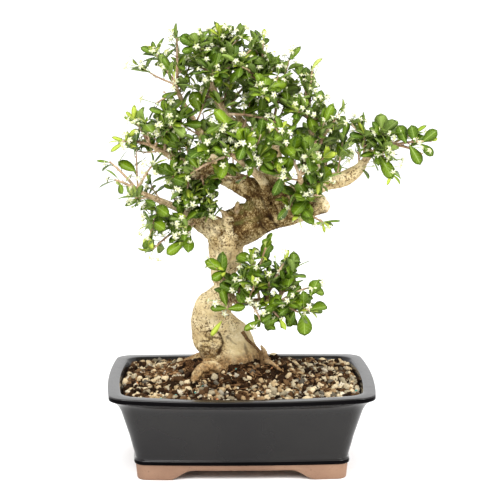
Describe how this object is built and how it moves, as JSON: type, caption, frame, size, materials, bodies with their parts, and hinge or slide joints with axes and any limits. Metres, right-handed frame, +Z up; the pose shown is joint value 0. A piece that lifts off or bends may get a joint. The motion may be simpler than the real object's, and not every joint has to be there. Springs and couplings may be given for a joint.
{
  "type": "potted fukien tea bonsai",
  "caption": "Flowering Fukien tea bonsai with a thick curved trunk, forked limbs and a broad leafy crown, in a low dark glazed rectangular pot.",
  "frame": {"origin": "under the middle of the whole plant, on the surface that the pot stands on", "axes": "+Z up, +X to the viewer's right along the pot's long side, +Y away from the pictured front"},
  "size_m": [0.4262, 0.2688, 0.5563],
  "materials": {
    "pot_glaze": "gloss",
    "pot_clay": "matte",
    "soil": "matte",
    "bark": "matte",
    "leaf": "satin",
    "petal": "matte",
    "screen": "matte"
  },
  "bodies": {
    "root": {"back_left_spray_1": "leaf", "back_left_spray_2": "leaf", "back_right_spray_1": "leaf", "back_right_spray_2": "leaf", "back_spray_1": "leaf", "back_spray_2": "leaf", "back_top_spray_1": "leaf", "back_top_spray_2": "leaf", "crown_right_spray_1": "leaf", "crown_right_spray_2": "leaf", "crown_right_spray_3": "leaf", "crown_right_spray_4": "leaf", "drain_screen_left": "screen", "drain_screen_right": "screen", "far_right_spray_1": "leaf", "far_right_spray_2": "leaf", "far_right_spray_3": "leaf", "far_right_spray_4": "leaf", "far_right_spray_5": "leaf", "front_right_spray_1": "leaf", "front_right_spray_2": "leaf", "front_right_spray_3": "leaf", "front_spray_1": "leaf", "front_spray_2": "leaf", "front_spray_3": "leaf", "front_spray_4": "leaf", "leader_spray_1": "leaf", "leader_spray_2": "leaf", "leader_spray_3": "leaf", "leader_spray_4": "leaf", "low_branch_spray_1": "leaf", "low_branch_spray_2": "leaf", "low_branch_spray_3": "leaf", "low_branch_spray_4": "leaf", "low_branch_spray_5": "leaf", "low_left_spray_1": "leaf", "low_left_spray_2": "leaf", "low_left_spray_3": "leaf", "low_left_spray_4": "leaf", "low_left_spray_5": "leaf", "mid_left_spray_1": "leaf", "mid_left_spray_2": "leaf", "mid_left_spray_3": "leaf", "mid_left_spray_4": "leaf", "pot": "pot_glaze", "right_spray_1": "leaf", "right_spray_2": "leaf", "right_spray_3": "leaf", "right_spray_4": "leaf", "soil": "soil", "top_left_spray_1": "leaf", "top_left_spray_2": "leaf", "top_left_spray_3": "leaf", "trunk": "bark", "under_limb_spray_1": "leaf"}
  },
  "joints": []
}
